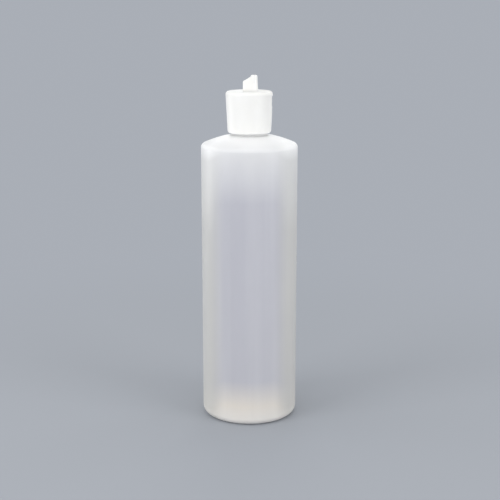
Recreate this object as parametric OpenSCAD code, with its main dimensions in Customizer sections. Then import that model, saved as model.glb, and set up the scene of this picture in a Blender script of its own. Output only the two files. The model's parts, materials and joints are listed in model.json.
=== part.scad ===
// Cylinder bottle with a screw cap and a flip spout, in millimetres.
// The bottle stands on z = 0 with its axis on z. The spout folds down towards +x.

/* [Bottle body] */
// Outside diameter of the body
body_d = 62; // [52:1:75]
// Height at which the straight wall turns into the shoulder edge
wall_h = 177.9; // [90:0.1:240]
// Thickness of the blown wall
wall = 1.1; // [0.8:0.1:1.6]
// Outside radius of the shoulder edge
shoulder_edge_r = 2.9; // [2.2:0.1:4.5]
// Angle through which the shoulder edge turns
shoulder_edge_turn = 66.5; // [62:0.5:72]
// Radius of the shallow dome between shoulder edge and neck
shoulder_r = 82; // [70:1:120]

/* [Bottle base] */
// Outside radius of the base edge
base_edge_r = 4.6; // [3:0.1:7]
// Width of the flat ring that the bottle stands on
ring_w = 4.4; // [2:0.1:7]
// Rise of the push-up at the middle of the base
push_h = 2; // [1:0.1:4]
// Height of the weld ridge that the mould pinched off under the base
pinch_h = 0.5; // [0.3:0.1:0.8]
// Width of the weld ridge
pinch_w = 1.2; // [0.8:0.1:2]
// Distance from each end of the weld ridge to the standing ring
pinch_margin = 5; // [2:0.5:10]

/* [Neck] */
// Outside diameter of the neck between its threads
neck_d = 21.6; // [20:0.1:22.4]
// Diameter over the thread crests
thread_d = 23.8; // [23:0.1:24.2]
// Diameter of the pouring bore
bore_d = 17.6; // [16.6:0.1:18.4]
// Height of the neck from the shoulder to the rim
neck_h = 16.6; // [15:0.1:20]
// Radius of the fillet between shoulder and neck
neck_fillet = 1.6; // [0.8:0.1:2]
// Radius of the rounded rim edges
rim_r = 0.5; // [0.3:0.1:0.8]

/* [Cap] */
// Diameter at the lower edge of the skirt
skirt_d = 27.7; // [27.3:0.1:29]
// Diameter at the top
head_d = 30.4; // [29:0.1:33]
// Height of the cap
cap_h = 26.2; // [25.5:0.1:28]
// Radius of the lower outside edge
skirt_edge_r = 1.4; // [0.3:0.1:1.5]
// Radius of the top outside edge
head_edge_r = 1.9; // [0.5:0.1:2.5]
// Height of the skirt's edge over the shoulder line at the neck
skirt_gap = 1.1; // [0.3:0.1:1.5]
// Length of the ring that plugs the pouring bore
plug_h = 2.2; // [1:0.1:4]
// Wall of the plug ring
plug_wall = 1.1; // [0.8:0.1:1.6]
// Thickness of the top over the two cored pockets
head_skin = 1.5; // [1:0.1:3]
// Thickness between the neck's rim and the bottom of the drum pocket
seat_floor = 1.1; // [0.8:0.1:2]
// Wall between the slot and the cored pockets
slot_wall = 1.6; // [1.4:0.1:2.4]
// Half width of the seat on which the drum seals
seat_half_w = 2.1; // [1.7:0.1:2.4]
// Diameter of the outlet hole in the seat
outlet_d = 2.6; // [1.6:0.1:3]

/* [Thumb recess] */
// Depth of the recess where it is deepest, under the lip
recess_depth = 0.45; // [0.2:0.05:1]
// Height over which the recess runs out below the lip
recess_h = 12; // [4:0.5:18]
// Height of the lip above the recess
lip_h = 2.9; // [2:0.1:4]
// Angle each way from +x at which the recess runs out
recess_spread = 80; // [50:5:85]

/* [Spout] */
// Distance from the cap's axis to the hinge line
pivot_x = 0.7; // [0:0.1:1.5]
// Radius of the drum that turns in the cap
drum_r = 4.95; // [4.5:0.05:5.2]
// Width of the drum
drum_w = 5.4; // [5:0.1:6.4]
// Radius of the tube where it leaves the drum
tube_base_r = 2.65; // [2.3:0.05:2.7]
// Radius of the tube at its tip
tube_tip_r = 2.1; // [1.7:0.1:2.3]
// Radius of the tip's rounded edge
tip_edge_r = 0.8; // [0.2:0.1:0.8]
// Width of the fin behind the tube
fin_w = 4.4; // [3:0.1:5]
// Height of the fin's back corner over the hinge line
fin_h = 10.5; // [8:0.1:12]
// Radius of the fin's back corner
fin_edge_r = 1; // [0.4:0.1:2]
// Distance of the fin's sloping edge below the tip, where it meets the tube
fin_drop = 0.35; // [0.1:0.05:1.5]
// Hollow of the fin's sloping edge
fin_sag = 0.25; // [0:0.05:0.4]
// Height of the fin's back over the top of the cap when folded
fin_proud = 0.25; // [0:0.05:0.8]
// Diameter of the bore through the spout
spout_bore_d = 2.2; // [1.2:0.1:2.6]
// Diameter of the two hinge pins
pin_d = 2.8; // [2:0.1:3.2]
// Length of each hinge pin
pin_l = 0.9; // [0.6:0.1:1.1]

/* [Clearances] */
// Radial room between thread crests and cap
thread_gap = 0.3; // [0.2:0.05:0.5]
// Room between the neck's rim and the cap
rim_gap = 0.05; // [0.02:0.01:0.2]
// Radial room around the plug ring
plug_gap = 0.1; // [0.05:0.05:0.3]
// Radial room around the drum
drum_gap = 0.1; // [0.05:0.05:0.2]
// Room on each side of the drum
side_gap = 0.15; // [0.1:0.05:0.3]
// Radial room around the hinge pins
pin_gap = 0.08; // [0.04:0.02:0.1]
// Room under, behind and in front of the folding lever
lever_gap = 0.15; // [0.1:0.05:0.3]

/* [Hidden] */
$fn = 96;
// Reach of a cut past the face that it opens
over = 1;
// Steps in each drawn arc
arc_steps = 10;

body_r = body_d / 2;
neck_r = neck_d / 2;
bore_r = bore_d / 2;

// Centres of the arcs in the bottle's outline
base_edge_c = [body_r - base_edge_r, base_edge_r];
shoulder_edge_c = [body_r - shoulder_edge_r, wall_h];
shoulder_c = shoulder_edge_c + (shoulder_edge_r - shoulder_r) * ray(shoulder_edge_turn);
ring_r = base_edge_c[0] - ring_w;
push_r = (ring_r * ring_r + push_h * push_h) / (2 * push_h);
push_c = [0, push_h - push_r];

// Heights
neck_z = shoulder_c[1] + leg(shoulder_r, neck_r - shoulder_c[0]);
rim_z = neck_z + neck_h;
skirt_z = neck_z + skirt_gap;
cap_top = skirt_z + cap_h;
land_z = rim_z + rim_gap;

// Cap
cap_taper = atan((head_d - skirt_d) / 2 / cap_h);
cap_bore_r = thread_d / 2 + thread_gap;
foot_wall = skirt_d / 2 - cap_bore_r;
foot_round_share = 0.9;
foot_r = min(skirt_edge_r, foot_round_share * foot_wall);
plug_r = bore_r - plug_gap;
core_r = plug_r - plug_wall;
slot_w = drum_w + 2 * side_gap;
pocket_r = drum_r + drum_gap;
socket_end = drum_w / 2 + pin_l + side_gap;
snap_ramp_w = 0.5;
snap_ramp_h = 2.4;

// Spout, measured from the hinge line
pivot_z = land_z + seat_floor + pocket_r;
tip_h = head_d / 2 - pivot_x;
fin_back = cap_top - pivot_z + fin_proud;
tube_x = drum_r - tube_base_r;
tube_lift = 0.4;
tube_start = seat_half_w + tube_lift;
bore_tilt = atan(tube_x / (drum_r + tip_h));

// Direction at an angle, and the third side of a right triangle
function ray(angle) = [cos(angle), sin(angle)];
function leg(hypotenuse, side) = sqrt(hypotenuse * hypotenuse - side * side);

// Points of an arc
function arc(centre, r, from, to, steps = arc_steps) =
    [for (i = [0 : steps]) centre + r * ray(from + (to - from) * i / steps)];

// Points of a shallow curve that hangs below the straight line between two points
function hanging(start, end, sag, steps = arc_steps) =
    let (along = (end - start) / norm(end - start), down = [along[1], -along[0]])
    [for (i = [0 : steps]) let (t = i / steps) start + (end - start) * t + down * sag * 4 * t * (1 - t)];

// Outline of the bottle from the middle of its base to the neck, drawn a given
// distance inside its outer skin, with a neck of radius r and a fillet under it
function vessel(inset, r, fillet) = let (
        push_turn = asin(leg(push_r + inset, push_r - push_h + inset) / (push_r + inset)),
        dome_r = shoulder_r - inset,
        neck_turn = acos((r + fillet - shoulder_c[0]) / (dome_r + fillet)),
        fillet_c = shoulder_c + (dome_r + fillet) * ray(neck_turn))
    concat(
        arc(push_c, push_r + inset, 90, 90 - push_turn),
        arc(base_edge_c, base_edge_r - inset, -90, 0),
        arc(shoulder_edge_c, shoulder_edge_r - inset, 0, shoulder_edge_turn),
        arc(shoulder_c, dome_r, shoulder_edge_turn, neck_turn),
        arc(fillet_c, fillet, neck_turn - 180, -180));

module bottle_skin() {
    rotate_extrude()
        polygon(concat(
            vessel(0, neck_r, neck_fillet),
            arc([neck_r - rim_r, rim_z - rim_r], rim_r, 0, 90),
            [[0, rim_z]]));
}

module bottle_hollow() {
    rotate_extrude()
        polygon(concat(
            vessel(wall, bore_r, neck_fillet + wall),
            arc([bore_r + rim_r, rim_z - rim_r], rim_r, 180, 90),
            [[bore_r + rim_r, rim_z + over], [0, rim_z + over]]));
}

// Weld ridge that follows the push-up from side to side
module pinch_off() {
    ridge_l = 2 * (ring_r - pinch_margin);
    intersection() {
        translate([-ridge_l / 2, -pinch_w / 2, 0])
            cube([ridge_l, pinch_w, push_h + wall]);
        rotate_extrude()
            polygon(concat(
                arc(push_c, push_r - pinch_h, 90, 90 - asin(ring_r / push_r)),
                arc(push_c, push_r + wall / 2, 90 - asin(ring_r / push_r), 90)));
    }
}

module bottle() {
    color([0.86, 0.87, 0.9]) {
        difference() {
            bottle_skin();
            bottle_hollow();
        }
        pinch_off();
    }
}

// Turned form of the cap: tapered outside, bore over the thread, land and plug ring.
// The rounding of the skirt's foot leaves some of the wall for the bore's lead-in.
module cap_form() {
    skirt_c = [skirt_d / 2 - foot_r * (1 - sin(cap_taper)) / cos(cap_taper), skirt_z + foot_r];
    head_c = [head_d / 2 - head_edge_r * (1 + sin(cap_taper)) / cos(cap_taper), cap_top - head_edge_r];
    lead_in = (skirt_c[0] - cap_bore_r) * 0.8;
    rotate_extrude()
        polygon(concat(
            [[0, land_z], [core_r, land_z], [core_r, land_z - plug_h]],
            [[plug_r - plug_gap, land_z - plug_h], [plug_r, land_z - plug_h / 2], [plug_r, land_z]],
            [[cap_bore_r, land_z], [cap_bore_r, skirt_z + lead_in], [cap_bore_r + lead_in, skirt_z]],
            arc(skirt_c, foot_r, -90, -cap_taper),
            arc(head_c, head_edge_r, -cap_taper, 90),
            [[0, cap_top]]));
}

// Slot for the spout: drum pocket, room above the hinge line, and groove to the rim
module spout_slot() {
    reach = head_d;
    translate([pivot_x, slot_w / 2, pivot_z])
        rotate([90, 0, 0])
            linear_extrude(height = slot_w) {
                circle(r = pocket_r);
                translate([-fin_back - lever_gap, 0])
                    square([reach, reach]);
                translate([seat_half_w, -drum_r - lever_gap])
                    square([reach, reach]);
            }
}

// Sockets for the two hinge pins, each with a ramp that lets the pin snap in
module pin_sockets() {
    translate([pivot_x, socket_end, pivot_z])
        rotate([90, 0, 0])
            cylinder(r = pin_d / 2 + pin_gap, h = 2 * socket_end);
    for (side = [-1, 1])
        translate([pivot_x - pin_d / 2, 0, cap_top])
            rotate([90, 0, 90])
                linear_extrude(height = pin_d)
                    polygon([
                        [side * (slot_w / 2 - over), over],
                        [side * (slot_w / 2 + snap_ramp_w), over],
                        [side * (slot_w / 2 + snap_ramp_w), 0],
                        [side * slot_w / 2, -snap_ramp_h],
                        [side * (slot_w / 2 - over), -snap_ramp_h]]);
}

// Hollows that open into the neck, beside the slot's walls
module cored_pockets() {
    core_z = land_z - over;
    for (side = [0, 180])
        rotate(side)
            intersection() {
                translate([0, 0, core_z])
                    cylinder(r = core_r, h = cap_top - head_skin - core_z);
                translate([-core_r, slot_w / 2 + slot_wall, core_z])
                    cube([2 * core_r, core_r, cap_h]);
            }
}

// Crescent cut under the lip: the space outside a cone whose axis is moved away from +x.
// It is deepest under the lip, and runs out below and at both sides.
module thumb_recess() {
    lip_z = cap_top - lip_h;
    top_r = head_d / 2 - lip_h * tan(cap_taper);
    low_r = top_r - recess_h * tan(cap_taper);
    side_room = top_r * (1 - cos(recess_spread)) - recess_depth;
    shift = recess_depth * (top_r - recess_depth / 2) / side_room;
    difference() {
        translate([0, 0, lip_z - recess_h])
            cylinder(r = head_d, h = recess_h);
        translate([-shift, 0, lip_z - recess_h])
            cylinder(r1 = low_r + shift, r2 = top_r - recess_depth + shift, h = recess_h);
    }
}

module cap() {
    color("white")
        difference() {
            cap_form();
            spout_slot();
            pin_sockets();
            cored_pockets();
            thumb_recess();
            translate([pivot_x, 0, land_z - over])
                cylinder(d = outlet_d, h = seat_floor + 2 * over);
        }
}

// Tube of the spout, with a slight taper and a rounded tip
module tube() {
    translate([tube_x, 0, 0])
        rotate_extrude()
            polygon(concat(
                [[0, tube_start], [tube_base_r, tube_start]],
                arc([tube_tip_r - tip_edge_r, tip_h - tip_edge_r], tip_edge_r, 0, 90),
                [[0, tip_h]]));
}

// Fin behind the tube, with a rounded back corner and a hollow sloping edge
module fin() {
    end = [tube_x - tube_tip_r + tip_edge_r, tip_h - fin_drop];
    slope = atan((end[1] - fin_h) / (end[0] + fin_back));
    corner_c = [fin_edge_r - fin_back, fin_h - fin_edge_r * (1 - sin(slope)) / cos(slope)];
    corner = arc(corner_c, fin_edge_r, 180, 90 + slope);
    translate([0, fin_w / 2, 0])
        rotate([90, 0, 0])
            linear_extrude(height = fin_w)
                polygon(concat(
                    [[tube_x, 0], [-fin_back, 0]],
                    corner,
                    hanging(corner[arc_steps], end, fin_sag),
                    [[tube_x, tip_h - fin_drop]]));
}

module drum() {
    rotate([90, 0, 0]) {
        cylinder(r = drum_r, h = drum_w, center = true);
        cylinder(d = pin_d, h = drum_w + 2 * pin_l, center = true);
    }
}

module spout() {
    color("ghostwhite")
        translate([pivot_x, 0, pivot_z])
            difference() {
                union() {
                    drum();
                    tube();
                    fin();
                }
                translate([0, 0, -drum_r])
                    rotate([0, bore_tilt, 0])
                        translate([0, 0, -over])
                            cylinder(d = spout_bore_d, h = drum_r + tip_h + 3 * over);
            }
}

bottle();
cap();
spout();
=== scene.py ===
"""Looks of a milky cylinder bottle with a white screw cap and a flip spout.

Sizes are in millimetres, as in the part's source, and every mesh is made in metres.
"""

import json
import math

import bmesh
import bpy
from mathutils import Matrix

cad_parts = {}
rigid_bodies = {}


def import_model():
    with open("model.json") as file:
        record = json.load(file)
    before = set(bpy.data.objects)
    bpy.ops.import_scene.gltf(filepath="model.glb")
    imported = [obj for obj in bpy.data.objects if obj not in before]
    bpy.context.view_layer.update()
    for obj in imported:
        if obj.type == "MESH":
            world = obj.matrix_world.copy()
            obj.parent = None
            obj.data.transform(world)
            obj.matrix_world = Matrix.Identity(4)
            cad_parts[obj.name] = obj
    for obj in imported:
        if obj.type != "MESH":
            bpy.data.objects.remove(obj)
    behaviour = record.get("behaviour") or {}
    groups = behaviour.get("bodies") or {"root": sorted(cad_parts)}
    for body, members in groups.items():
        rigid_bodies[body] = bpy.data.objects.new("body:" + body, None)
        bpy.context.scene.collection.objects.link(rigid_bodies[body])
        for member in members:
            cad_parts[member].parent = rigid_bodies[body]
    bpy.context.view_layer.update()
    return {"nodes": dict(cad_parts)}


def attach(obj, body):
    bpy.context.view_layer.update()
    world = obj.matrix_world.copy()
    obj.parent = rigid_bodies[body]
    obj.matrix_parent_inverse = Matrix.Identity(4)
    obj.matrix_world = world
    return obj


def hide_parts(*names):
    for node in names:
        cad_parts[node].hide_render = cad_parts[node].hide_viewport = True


for leftover in list(bpy.data.objects):
    bpy.data.objects.remove(leftover)
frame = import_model()

MM = 0.001

# Camera, at the photograph's viewing angle
CAMERA_SIDE = 0.4
CAMERA_BACK = 687.5
CAMERA_UP = 270.8
CAMERA_TILT_DEG = 13.15
FOCAL_LENGTH_PX = 1080
IMAGE_WIDTH_PX = 500
SENSOR_WIDTH = 36

# Bottle
BODY_R = 31
WALL_H = 177.9
WALL = 1.1
SHOULDER_EDGE_R = 2.9
SHOULDER_EDGE_TURN = 66.5
SHOULDER_R = 82
BASE_EDGE_R = 4.6
RING_W = 4.4
PUSH_H = 2
PINCH_H = 0.5
PINCH_W = 1.2
PINCH_MARGIN = 5
PINCH_RUN_OUT = 1.5
NECK_R = 10.8
BORE_R = 8.8
NECK_H = 16.6
NECK_FILLET = 1.6
RIM_R = 0.5

# Skin of the blown wall: a parting line on both sides, and a slight waviness. Each wave has
# its number of crests round the axis, its rise for each radian, and its phase in radians.
PARTING_H = 0.05
PARTING_W = 0.25
WAVE_H = 0.06
WAVES = [(3, 19, 0), (5, -27, 1), (2, 11, 0)]
RELIEF_CLEAR_OF_NECK = 4
RELIEF_RUN_OUT = 8

# Screw thread: one ridge on the neck, and one in the cap that runs between its turns
THREAD_PITCH = 3.175
THREAD_TURNS = 1.6
THREAD_CREST_R = 11.9
THREAD_BASE_W = 2.1
THREAD_CREST_W = 0.9
THREAD_START = 1.9
THREAD_SINK = 0.3
THREAD_EDGE_DEPTH = 0.18
THREAD_EDGE_OUT = 0.1
THREAD_EDGE_IN = 0.12
THREAD_PHASE_DEG = 200
THREAD_RUN_OUT = 0.09
THREAD_END_DIP = 0.1
THREAD_STEPS = 72
CAP_BORE_R = 12.2
CAP_CREST_R = 11.15

# Moulded edges of the cap and the spout
CAP_EDGE_R = 0.22
SPOUT_EDGE_R = 0.3
EDGE_SEGMENTS = 3
EDGE_MIN_ANGLE_DEG = 28
FLAT_ANGLE_DEG = 0.4
WELD_DISTANCE = 0.002
NORMAL_WEIGHT = 80

# Colour of the milky wall, by its height as a part of GLOW_TOP, with painted light in it.
# A painted glow whitens both ends, for light that enters at the base and the shoulder; the
# shoulder's painted highlight is lightest next to the cap, over the cap's shade there. Beside
# the parting line, at both ends of the X axis, the wall is painted lighter and warmer as painted
# light of its bright side edges, and the shoulder's painted light reaches lower by GLOW_DIP.
GLOW_TOP = 200
GLOW_DIP = 6
# The foot and shoulder stops are painted light: a warm painted glow at the foot, a white painted
# highlight on the shoulder.
FOOT_LIGHT_TINT = (0.0, (0.79, 0.765, 0.73))
SHOULDER_LIGHT_TINT = (0.93, (0.98, 0.98, 0.975))
NECK_TINT = (0.95, (0.83, 0.83, 0.82))
# Panel stops: painted glow of the base up to 0.065, the wall's own milky grey from 0.15 to 0.73
# with a faint painted blue cast of the surroundings, painted shoulder light from 0.885.
PANEL_TINTS_AND_LIGHT = [
    FOOT_LIGHT_TINT,
    (0.065, (0.735, 0.683, 0.617)),
    (0.15, (0.493, 0.492, 0.533)),
    (0.73, (0.494, 0.495, 0.543)),
    (0.885, (0.72, 0.72, 0.733)),
    SHOULDER_LIGHT_TINT,
    NECK_TINT,
]
# Edge stops: lighter and warmer than the panel's, as painted light of the wall's bright side edges,
# with the same painted foot glow and shoulder highlight.
EDGE_TINTS_AND_LIGHT = [
    FOOT_LIGHT_TINT,
    (0.065, (0.575, 0.56, 0.525)),
    (0.15, (0.525, 0.519, 0.503)),
    (0.66, (0.55, 0.545, 0.528)),
    (0.885, (0.69, 0.69, 0.68)),
    SHOULDER_LIGHT_TINT,
    NECK_TINT,
]

# Distances along X, as parts of the radius, between which panel tints turn into edge tints and
# their painted edge light
EDGE_ZONE = (0.48, 0.86)

# Faint darker clouds and lighter flow streaks in the wall
CLOUD_TINT = (0.38, 0.39, 0.43)
STREAK_TINT = (0.93, 0.93, 0.91)

# White plastic, with a painted lighter band at the skirt's foot, standing for the shoulder's light
# that it catches over the shade there
WHITE_TINTS = [(0, (0.85, 0.841, 0.815)), (1, (0.887, 0.881, 0.857))]
CAP_FOOT_Z = 187.2
CAP_FOOT_H = 1.4
CAP_FOOT_LIGHT_TINT = (0.95, 0.945, 0.93)
CAP_ROUGHNESS = 0.4
SPOUT_ROUGHNESS = 0.34

# Studio
FLOOR_SIZE = 60000
FLOOR_LIT_R = 110
FLOOR_FADE_R = 450
FLOOR_COLOUR = (0.365, 0.385, 0.42)
BACKDROP_COLOUR = (0.4, 0.425, 0.47)
WORLD_COLOUR = (0.98, 0.99, 1.0)
WORLD_LIGHT = 0.7

# Area lamps, all aimed at one point: name, place, size and power in watts
LAMP_AIM = (0, 0, 110)
LAMPS = [
    ("overhead", (-60, -60, 900), (700, 600), 1.0),
    ("front", (-260, -1050, 170), (500, 300), 0.85),
    ("front_left", (-740, -520, 360), (500, 600), 3.5),
    ("front_right", (740, -520, 270), (500, 600), 3.5),
    ("back", (60, 1000, 560), (600, 500), 1.2),
    ("left", (-680, 200, 120), (300, 200), 0.55),
    ("back_right", (550, 420, 350), (200, 500), 0.25),
]

# Steps of the meshes. The bottle gets more columns at PARTING_STEPS degrees from each parting line.
COLUMNS = 192
ARC_STEPS = 18
RIM_STEPS = 6
WALL_ROWS = 60
PARTING_STEPS = [0.2, 0.4, 0.7, 1.1]
RIDGE_STEPS = 48
RIDGE_ANGLE_STEP = 20


def ray(angle):
    """Direction at an angle in degrees."""
    return math.cos(math.radians(angle)), math.sin(math.radians(angle))


def arc(centre, r, start, end, steps=ARC_STEPS):
    """Points (radius, height) of an arc."""
    points = []
    for i in range(steps + 1):
        x, z = ray(start + (end - start) * i / steps)
        points.append((centre[0] + r * x, centre[1] + r * z))
    return points


def shoulder_centre():
    x, z = ray(SHOULDER_EDGE_TURN)
    back = SHOULDER_EDGE_R - SHOULDER_R
    return BODY_R - SHOULDER_EDGE_R + back * x, WALL_H + back * z


def rim_height():
    centre_r, centre_z = shoulder_centre()
    return centre_z + math.sqrt(SHOULDER_R**2 - (NECK_R - centre_r) ** 2) + NECK_H


def push_up():
    """Radius and centre height of the dome pushed up into the base."""
    ring_r = BODY_R - BASE_EDGE_R - RING_W
    r = (ring_r**2 + PUSH_H**2) / (2 * PUSH_H)
    return r, PUSH_H - r


def vessel(inset, neck_r, fillet):
    """Outline of the bottle from the middle of its base to the neck, inset from its outer skin."""
    push_r, push_z = push_up()
    push_turn = math.degrees(math.acos((push_r - PUSH_H + inset) / (push_r + inset)))
    edge = (BODY_R - SHOULDER_EDGE_R, WALL_H)
    dome = shoulder_centre()
    dome_r = SHOULDER_R - inset
    neck_turn = math.degrees(math.acos((neck_r + fillet - dome[0]) / (dome_r + fillet)))
    x, z = ray(neck_turn)
    fillet_c = (dome[0] + (dome_r + fillet) * x, dome[1] + (dome_r + fillet) * z)
    base_edge = arc((BODY_R - BASE_EDGE_R, BASE_EDGE_R), BASE_EDGE_R - inset, -90, 0)
    wall_low, wall_r = base_edge[-1][1], base_edge[-1][0]
    wall_l = WALL_H - wall_low
    wall = [(wall_r, wall_low + wall_l * i / WALL_ROWS) for i in range(1, WALL_ROWS)]
    return (
        arc((0, push_z), push_r + inset, 90, 90 - push_turn)
        + base_edge
        + wall
        + arc(edge, SHOULDER_EDGE_R - inset, 0, SHOULDER_EDGE_TURN)
        + arc(dome, dome_r, SHOULDER_EDGE_TURN, neck_turn)[1:]
        + arc(fillet_c, fillet, neck_turn - 180, -180)[1:]
    )


def bottle_outline():
    """Section of the bottle's wall, up the outside, over the rim and down the inside.

    The second value is the number of points on the outer skin.
    """
    rim = rim_height()
    outside = vessel(0, NECK_R, NECK_FILLET)
    inside = vessel(WALL, BORE_R, NECK_FILLET + WALL)
    rim_out = arc((NECK_R - RIM_R, rim - RIM_R), RIM_R, 0, 90, RIM_STEPS)
    rim_in = arc((BORE_R + RIM_R, rim - RIM_R), RIM_R, 90, 180, RIM_STEPS)
    return outside + rim_out + rim_in + inside[::-1], len(outside)


def make_object(name, points, faces):
    mesh = bpy.data.meshes.new(name)
    mesh.from_pydata([[c * MM for c in p] for p in points], [], faces)
    mesh.validate()
    mesh.shade_smooth()
    obj = bpy.data.objects.new(name, mesh)
    bpy.context.scene.collection.objects.link(obj)
    return obj


def column_angles():
    """Even steps round the axis, with closer ones over the two parting lines."""
    angles = [360 * i / COLUMNS for i in range(COLUMNS)]
    for offset in PARTING_STEPS:
        angles += [360 - offset, offset, 180 - offset, 180 + offset]
    return sorted(angles)


def relief(angle, r, z):
    """Depth of the outer skin under its nominal radius, away from the mould's parting lines."""
    from_parting = math.radians(abs((angle + 90) % 180 - 90)) * r
    ridge = math.exp(-((from_parting / PARTING_W) ** 2))
    turn = math.radians(angle)
    wave = sum(math.sin(crests * turn + z / rise + phase) for crests, rise, phase in WAVES)
    depth = PARTING_H * (1 - ridge) + WAVE_H * (wave / len(WAVES) + 1) / 2
    return depth * smooth_step((r - NECK_R - RELIEF_CLEAR_OF_NECK) / RELIEF_RUN_OUT)


def lathe(name, outline, skin):
    """Turns an outline whose two ends lie on the axis into a closed mesh.

    The first points of the outline are the outer skin, which gets its relief.
    """
    rings = outline[1:-1]
    angles = column_angles()
    columns = len(angles)
    points = []
    for row, (r, z) in enumerate(rings):
        for angle in angles:
            x, y = ray(angle)
            inner = r - relief(angle, r, z) if row < skin - 1 else r
            points.append((inner * x, inner * y, z))
    faces = []
    for row in range(len(rings) - 1):
        for c in range(columns):
            d = (c + 1) % columns
            low, high = row * columns, (row + 1) * columns
            faces.append((low + c, low + d, high + d, high + c))
    first, last = len(points), len(points) + 1
    points += [(0, 0, outline[0][1]), (0, 0, outline[-1][1])]
    top = (len(rings) - 1) * columns
    for c in range(columns):
        d = (c + 1) % columns
        faces.append((first, d, c))
        faces.append((last, top + c, top + d))
    return make_object(name, points, faces)


def sweep(name, rings):
    """Closed mesh through rings that all have as many points, with both ends capped."""
    count = len(rings[0])
    points = [p for ring in rings for p in ring]
    faces = []
    for row in range(len(rings) - 1):
        for c in range(count):
            d = (c + 1) % count
            low, high = row * count, (row + 1) * count
            faces.append((low + c, low + d, high + d, high + c))
    faces.append(tuple(range(count))[::-1])
    faces.append(tuple(range(len(points) - count, len(points))))
    obj = make_object(name, points, faces)
    face_outwards(obj)
    return obj


def face_outwards(obj):
    bm = bmesh.new()
    bm.from_mesh(obj.data)
    bmesh.ops.recalc_face_normals(bm, faces=bm.faces)
    bm.to_mesh(obj.data)
    bm.free()


def smooth_step(t):
    t = min(max(t, 0), 1)
    return t * t * (3 - 2 * t)


def thread(name, wall_r, crest_r, start_z):
    """Helical ridge that rises from a wall and runs out gently at both ends."""
    inward = math.copysign(1, wall_r - crest_r)
    root_r = wall_r + inward * THREAD_SINK
    steps = round(THREAD_TURNS * THREAD_STEPS)
    rings = []
    for i in range(steps + 1):
        t = i / steps
        height = smooth_step(t / THREAD_RUN_OUT) * smooth_step((1 - t) / THREAD_RUN_OUT)
        rise = height * (1 + THREAD_END_DIP) - THREAD_END_DIP
        top_r = wall_r + (crest_r - wall_r) * rise
        z = start_z - THREAD_PITCH * THREAD_TURNS * t
        x, y = ray(THREAD_PHASE_DEG + 360 * THREAD_TURNS * t)
        round_r = top_r + inward * THREAD_EDGE_DEPTH
        upper = [
            (root_r, THREAD_BASE_W / 2),
            (round_r, THREAD_CREST_W / 2 + THREAD_EDGE_OUT),
            (top_r, THREAD_CREST_W / 2 - THREAD_EDGE_IN),
        ]
        section = upper + [(r, -dz) for r, dz in upper[::-1]]
        rings.append([(r * x, r * y, z + dz) for r, dz in section])
    return sweep(name, rings)


def pinch_ridge():
    """Weld ridge that the mould pinched off across the push-up."""
    push_r, push_z = push_up()
    half = BODY_R - BASE_EDGE_R - RING_W - PINCH_MARGIN
    rings = []
    for i in range(RIDGE_STEPS + 1):
        x = half * (2 * i / RIDGE_STEPS - 1)
        dome_z = push_z + math.sqrt(push_r**2 - x**2)
        depth = PINCH_H * smooth_step((half - abs(x)) / PINCH_RUN_OUT)
        section = []
        for angle in range(0, 181, RIDGE_ANGLE_STEP):
            y, z = ray(angle)
            section.append((x, y * PINCH_W / 2, dome_z - depth * z))
        section.append((x, -PINCH_W / 2, dome_z + WALL / 2))
        section.append((x, PINCH_W / 2, dome_z + WALL / 2))
        rings.append(section)
    return sweep("pinch_ridge", rings)


def moulded(node, edge_r):
    """Copy of a CAD node with its edges rounded as a mould leaves them."""
    source = frame["nodes"][node].data
    bm = bmesh.new()
    bm.from_mesh(source)
    bmesh.ops.remove_doubles(bm, verts=bm.verts, dist=WELD_DISTANCE * MM)
    flat = math.radians(FLAT_ANGLE_DEG)
    bmesh.ops.dissolve_limit(bm, angle_limit=flat, verts=bm.verts, edges=bm.edges)
    bm.verts.index_update()
    points = [[c / MM for c in v.co] for v in bm.verts]
    faces = [[v.index for v in f.verts] for f in bm.faces]
    bm.free()
    obj = make_object(node + "_moulded", points, faces)
    bevel = obj.modifiers.new("edges", "BEVEL")
    bevel.width = edge_r * MM
    bevel.segments = EDGE_SEGMENTS
    bevel.limit_method = "ANGLE"
    bevel.angle_limit = math.radians(EDGE_MIN_ANGLE_DEG)
    bevel.miter_outer = "MITER_ARC"
    normals = obj.modifiers.new("normals", "WEIGHTED_NORMAL")
    normals.keep_sharp = False
    normals.weight = NORMAL_WEIGHT
    return obj


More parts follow.
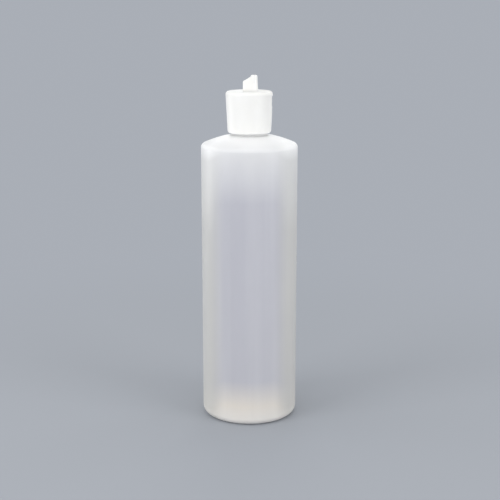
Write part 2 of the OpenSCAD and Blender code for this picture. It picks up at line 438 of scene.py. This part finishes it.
class Nodes:
    """Short calls for building the node tree of a material or the world."""

    def __init__(self, owner):
        owner.use_nodes = True
        self.owner = owner
        self.tree = owner.node_tree
        self.shader = self.tree.nodes.get("Principled BSDF")

    @classmethod
    def material(cls, name):
        return cls(bpy.data.materials.new(name))

    def add(self, kind, inputs=None, **settings):
        node = self.tree.nodes.new(kind)
        for key, value in settings.items():
            setattr(node, key, value)
        for key, value in (inputs or {}).items():
            self.set(node, key, value)
        return node

    def set(self, node, key, value):
        if isinstance(value, bpy.types.NodeSocket):
            self.tree.links.new(value, node.inputs[key])
        else:
            node.inputs[key].default_value = value

    def shade(self, **values):
        for key, value in values.items():
            self.set(self.shader, key.replace("_", " "), value)

    def calc(self, operation, *values):
        inputs = dict(enumerate(values))
        return self.add("ShaderNodeMath", inputs, operation=operation).outputs[0]

    def place(self, scale=(1, 1, 1)):
        """Point on the surface, in the object's own metres times a scale."""
        coordinates = self.add("ShaderNodeTexCoord")
        inputs = {"Vector": coordinates.outputs["Object"], "Scale": scale}
        return self.add("ShaderNodeMapping", inputs).outputs["Vector"]

    def noise(self, scale, detail, stretch=(1, 1, 1)):
        inputs = {"Vector": self.place(stretch), "Scale": scale, "Detail": detail}
        return self.add("ShaderNodeTexNoise", inputs).outputs["Fac"]

    def ramp(self, factor, stops):
        node = self.add("ShaderNodeValToRGB", {"Fac": factor})
        elements = node.color_ramp.elements
        while len(elements) < len(stops):
            elements.new(0.5)
        for element, (position, colour) in zip(elements, stops):
            element.position = position
            element.color = (*colour, 1)
        return node.outputs["Color"]

    def span(self, value, low, high, to_low=0, to_high=1, smooth=False):
        """A value scaled from one range to another, and held at the ends of the second."""
        source = {"Value": value, "From Min": low, "From Max": high}
        target = {"To Min": to_low, "To Max": to_high}
        kind = "SMOOTHSTEP" if smooth else "LINEAR"
        node = self.add("ShaderNodeMapRange", source | target, interpolation_type=kind)
        return node.outputs["Result"]

    def mix(self, factor, a, b):
        node = self.add("ShaderNodeMix", data_type="RGBA")
        self.set(node, 0, factor)
        self.set(node, 6, a)
        self.set(node, 7, b)
        return node.outputs[2]

    def bump(self, height, strength, distance, normal=None):
        inputs = {"Height": height, "Strength": strength, "Distance": distance}
        if normal is not None:
            inputs["Normal"] = normal
        return self.add("ShaderNodeBump", inputs).outputs["Normal"]


def milky_plastic():
    """Natural polyethylene.

    Painted light whitens the wall near the shoulder and the base, for light that enters there,
    and paints the wall lighter and warmer near the mould's parting line, at both ends of the X
    axis.
    """
    n = Nodes.material("milky_plastic")
    axes = n.add("ShaderNodeSeparateXYZ", {"Vector": n.place()}).outputs
    aside = n.calc("ABSOLUTE", axes["X"])
    zone = [share * BODY_R * MM for share in EDGE_ZONE]
    # Mask of the painted edge light, towards both ends of the X axis; it also lowers the painted
    # shoulder light there.
    edge_light = n.span(aside, *zone, smooth=True)
    height = n.calc("ADD", axes["Z"], n.calc("MULTIPLY", edge_light, GLOW_DIP * MM))
    along = n.span(height, 0, GLOW_TOP * MM)
    # Ramps of the wall's colour with painted glow at the foot and painted highlight on the
    # shoulder.
    panel = n.ramp(along, PANEL_TINTS_AND_LIGHT)
    edge = n.ramp(along, EDGE_TINTS_AND_LIGHT)
    tint = n.mix(edge_light, panel, edge)
    streaks = n.noise(scale=75, detail=3, stretch=(1, 1, 0.03))
    clouds = n.noise(scale=24, detail=3, stretch=(1, 1, 0.7))
    tint = n.mix(n.span(clouds, 0.4, 0.62, to_high=0.1), tint, (*CLOUD_TINT, 1))
    tint = n.mix(n.span(streaks, 0.42, 0.66, to_high=0.09), tint, (*STREAK_TINT, 1))
    grain = n.noise(scale=900, detail=2)
    wave = n.noise(scale=45, detail=2, stretch=(1, 1, 0.3))
    normal = n.bump(grain, strength=0.05, distance=0.0002)
    normal = n.bump(wave, strength=0.25, distance=0.0006, normal=normal)
    n.shade(
        Base_Color=tint,
        Roughness=n.span(streaks, 0.3, 0.7, to_low=0.34, to_high=0.42),
        Normal=normal,
        IOR=1.5,
        Subsurface_Weight=0.4,
        Subsurface_Radius=(1.0, 1.0, 1.0),
        Subsurface_Scale=0.0025,
    )
    return n.owner


def white_plastic(name, roughness):
    """Opaque white polypropylene with a fine moulded texture and faint flow marks."""
    n = Nodes.material(name)
    flow = n.noise(scale=90, detail=4, stretch=(1, 1, 0.5))
    grain = n.noise(scale=2600, detail=2)
    tint = n.ramp(n.span(flow, 0.3, 0.7), WHITE_TINTS)
    height = n.add("ShaderNodeSeparateXYZ", {"Vector": n.place()}).outputs["Z"]
    # Painted light: a lighter band at the skirt's foot, over the shade where it meets the shoulder.
    foot_top = CAP_FOOT_Z + CAP_FOOT_H
    foot = n.span(height, CAP_FOOT_Z * MM, foot_top * MM, to_low=1, to_high=0)
    tint = n.mix(foot, tint, (*CAP_FOOT_LIGHT_TINT, 1))
    n.shade(
        Base_Color=tint,
        Roughness=n.span(flow, 0.3, 0.7, roughness - 0.04, roughness + 0.05),
        Normal=n.bump(grain, strength=0.06, distance=0.0001),
        IOR=1.49,
        Subsurface_Weight=0.5,
        Subsurface_Radius=(1.0, 1.0, 0.95),
        Subsurface_Scale=0.002,
    )
    return n.owner


def dress(obj, body, material, slot, *nodes):
    """Gives a piece its material and its body, and hides the CAD nodes that it stands in for. The
    slot is not used.
    """
    obj.data.materials.clear()
    obj.data.materials.append(material)
    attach(obj, body)
    if nodes:
        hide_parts(*nodes)


def make_bottle(material):
    rim = rim_height()
    shell = lathe("bottle_shell", *bottle_outline())
    face_outwards(shell)
    dress(shell, "bottle", material, "milky_plastic", "bottle")
    ridge = thread("neck_thread", NECK_R, THREAD_CREST_R, rim - THREAD_START)
    dress(ridge, "bottle", material, "milky_plastic")
    dress(pinch_ridge(), "bottle", material, "milky_plastic")


def make_cap(material):
    rim = rim_height()
    dress(moulded("cap", CAP_EDGE_R), "cap", material, "white_plastic", "cap")
    start = rim - THREAD_START - THREAD_PITCH / 2
    ridge = thread("cap_thread", CAP_BORE_R, CAP_CREST_R, start)
    dress(ridge, "cap", material, "white_plastic")


def make_spout(material):
    dress(moulded("spout", SPOUT_EDGE_R), "spout", material, "spout_plastic", "spout")


def seen_ray(n):
    """1 for rays from the camera, gloss and see-through walls, which see the plain backdrop."""
    path = n.add("ShaderNodeLightPath").outputs
    seen = n.calc("MAXIMUM", path["Is Camera Ray"], path["Is Glossy Ray"])
    return n.calc("MAXIMUM", seen, path["Is Transmission Ray"])


def make_floor():
    """Floor that takes the bottle's shadow near it and turns into the backdrop colour far off."""
    n = Nodes.material("floor")
    place = n.add("ShaderNodeTexCoord").outputs["Object"]
    reach = n.add("ShaderNodeVectorMath", {0: place}, operation="LENGTH").outputs["Value"]
    fade = n.span(reach, FLOOR_LIT_R * MM, FLOOR_FADE_R * MM, smooth=True)
    factor = n.calc("MULTIPLY", fade, seen_ray(n))
    n.shade(Base_Color=(*FLOOR_COLOUR, 1), Roughness=0.8, Specular_IOR_Level=0.15)
    far = n.add("ShaderNodeEmission", {"Color": (*BACKDROP_COLOUR, 1), "Strength": 1.0})
    mix = n.add("ShaderNodeMixShader", {0: factor, 1: n.shader.outputs[0], 2: far.outputs[0]})
    n.set(n.tree.nodes["Material Output"], "Surface", mix.outputs[0])
    half = FLOOR_SIZE / 2
    corners = [(-half, -half, 0), (half, -half, 0), (half, half, 0), (-half, half, 0)]
    floor = make_object("floor", corners, [(0, 1, 2, 3)])
    floor.data.materials.append(n.owner)


def make_world():
    world = bpy.data.worlds.new("studio")
    bpy.context.scene.world = world
    n = Nodes(world)
    light = n.tree.nodes["Background"]
    n.set(light, "Color", (*WORLD_COLOUR, 1))
    n.set(light, "Strength", WORLD_LIGHT)
    backdrop = n.add("ShaderNodeBackground", {"Color": (*BACKDROP_COLOUR, 1), "Strength": 1.0})
    shaders = {0: seen_ray(n), 1: light.outputs[0], 2: backdrop.outputs[0]}
    choose = n.add("ShaderNodeMixShader", shaders)
    n.set(n.tree.nodes["World Output"], "Surface", choose.outputs[0])


def make_lamp(name, place, size, power):
    data = bpy.data.lights.new(name, "AREA")
    data.shape = "RECTANGLE"
    data.size = size[0] * MM
    data.size_y = size[1] * MM
    data.energy = power
    lamp = bpy.data.objects.new(name, data)
    bpy.context.scene.collection.objects.link(lamp)
    lamp.location = [c * MM for c in place]
    direction = lamp.location.copy()
    for axis in range(3):
        direction[axis] = LAMP_AIM[axis] * MM - lamp.location[axis]
    lamp.rotation_euler = direction.to_track_quat("-Z", "Y").to_euler()


def make_camera():
    data = bpy.data.cameras.new("camera")
    data.sensor_width = SENSOR_WIDTH
    data.lens = SENSOR_WIDTH * FOCAL_LENGTH_PX / IMAGE_WIDTH_PX
    camera = bpy.data.objects.new("camera", data)
    bpy.context.scene.collection.objects.link(camera)
    camera.location = (CAMERA_SIDE * MM, -CAMERA_BACK * MM, CAMERA_UP * MM)
    camera.rotation_euler = (math.radians(90 - CAMERA_TILT_DEG), 0, 0)
    bpy.context.scene.camera = camera


make_camera()
make_world()
for lamp in LAMPS:
    make_lamp(*lamp)
make_floor()
make_bottle(milky_plastic())
make_cap(white_plastic("white_plastic", CAP_ROUGHNESS))
make_spout(white_plastic("spout_plastic", SPOUT_ROUGHNESS))
bpy.context.scene.view_settings.view_transform = "Standard"
